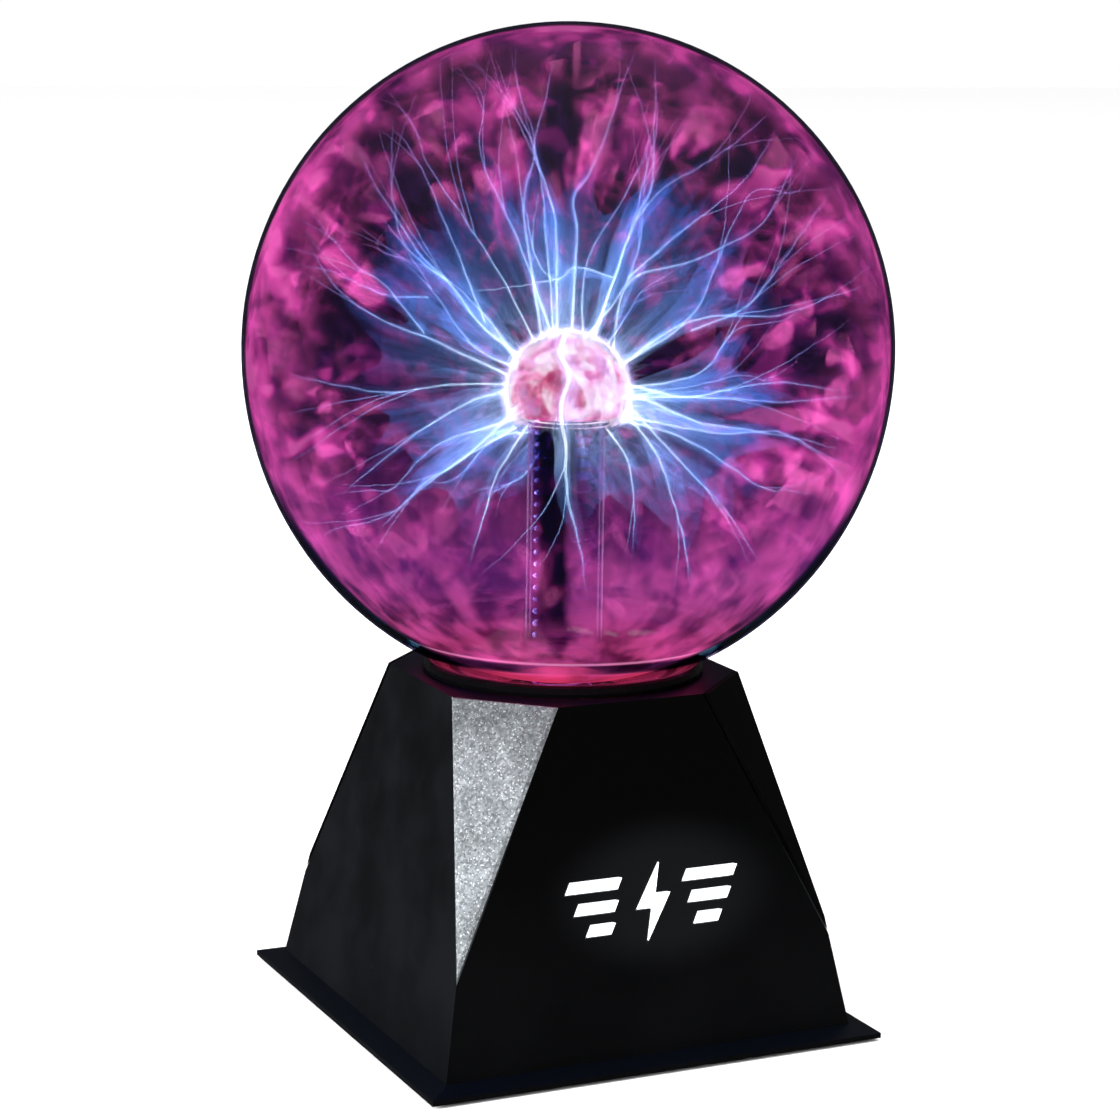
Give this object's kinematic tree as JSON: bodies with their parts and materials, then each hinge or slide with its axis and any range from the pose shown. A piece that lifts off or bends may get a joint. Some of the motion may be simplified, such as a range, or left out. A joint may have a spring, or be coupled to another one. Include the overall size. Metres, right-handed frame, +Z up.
{
  "type": "plasma ball",
  "caption": "Sealed glass globe with a glowing domed electrode on a stem, standing on a square black base with cut corners, a rear slide switch and a rear dial.",
  "frame": {"origin": "bottom centre, on the plane that the rubber feet stand on", "axes": "+Z up along the globe and stem; the front face with the lit mark looks along -Y and the controls are on the +Y face"},
  "size_m": [0.2, 0.2, 0.308],
  "materials": {
    "black_plastic": "satin moulded black",
    "glitter": "silver glitter",
    "black_panel": "satin black",
    "rubber": "matt",
    "glass": "clear",
    "silicone": "matt",
    "steel": "zinc plated",
    "brass": "plain",
    "aluminium": "plain",
    "lining": "crinkled metal coating",
    "circuit": "solder resist",
    "ferrite": "sintered",
    "winding": "varnished",
    "component": "moulded",
    "capacitor": "sleeved",
    "white_plastic": "diffusing white",
    "lit_mark": "diffusing white, lit from behind",
    "red_wire": "silicone sleeve",
    "grey_wire": "sleeve",
    "dial": "satin moulded black"
  },
  "bodies": {
    "housing": {"base_shell": "black_plastic", "corner_panel_front_left": "glitter", "corner_panel_front_right": "black_panel", "corner_panel_rear_left": "black_panel", "corner_panel_rear_right": "glitter", "bottom_plate": "black_plastic", "foot_front_left": "rubber", "plate_screw_front_left": "steel", "board_screw_front_left": "steel", "foot_front_right": "rubber", "plate_screw_front_right": "steel", "board_screw_front_right": "steel", "foot_rear_left": "rubber", "plate_screw_rear_left": "steel", "board_screw_rear_left": "steel", "foot_rear_right": "rubber", "plate_screw_rear_right": "steel", "board_screw_rear_right": "steel", "globe_collar": "black_plastic", "neck_gasket": "silicone", "neck_clamp": "black_plastic", "clamp_screw_left": "steel", "clamp_screw_right": "steel", "terminal_cap": "silicone", "terminal_stud": "brass", "glass_globe": "glass", "electrode_glass": "glass", "electrode_lining": "lining", "contact_spring": "steel", "circuit_board": "circuit", "transformer_core": "ferrite", "transformer_winding": "winding", "heat_sink": "aluminium", "power_transistor": "component", "filter_capacitor": "capacitor", "start_capacitor": "capacitor", "control_chip": "component", "dc_jack": "component", "dc_jack_pin": "steel", "dc_jack_nut": "steel", "mode_switch_housing": "component", "switch_screw_left": "steel", "switch_screw_right": "steel", "potentiometer": "aluminium", "dial_nut": "steel", "microphone": "aluminium", "badge_light_guide": "lit_mark", "badge_lamp_board": "circuit", "badge_lamp_left": "white_plastic", "badge_lamp_right": "white_plastic", "high_voltage_lead": "red_wire", "power_lead": "grey_wire", "switch_lead": "grey_wire", "dial_lead": "grey_wire", "microphone_lead": "grey_wire", "badge_lead": "grey_wire"},
    "switch_slider": {"mode_switch_slider": "white_plastic"},
    "dial": {"dial_shaft": "steel", "sensitivity_dial": "dial"}
  },
  "joints": [
    {"name": "mode_switch", "type": "slide", "parent": "housing", "child": "switch_slider", "axis": [1, 0, 0], "range_m": [-0.0035, 0.0035]},
    {"name": "sensitivity", "type": "hinge", "parent": "housing", "child": "dial", "pos_m": [-0.032, 0.06182, 0.036], "axis": [0, 0.9833, 0.1818], "range_deg": [-150, 150]}
  ]
}
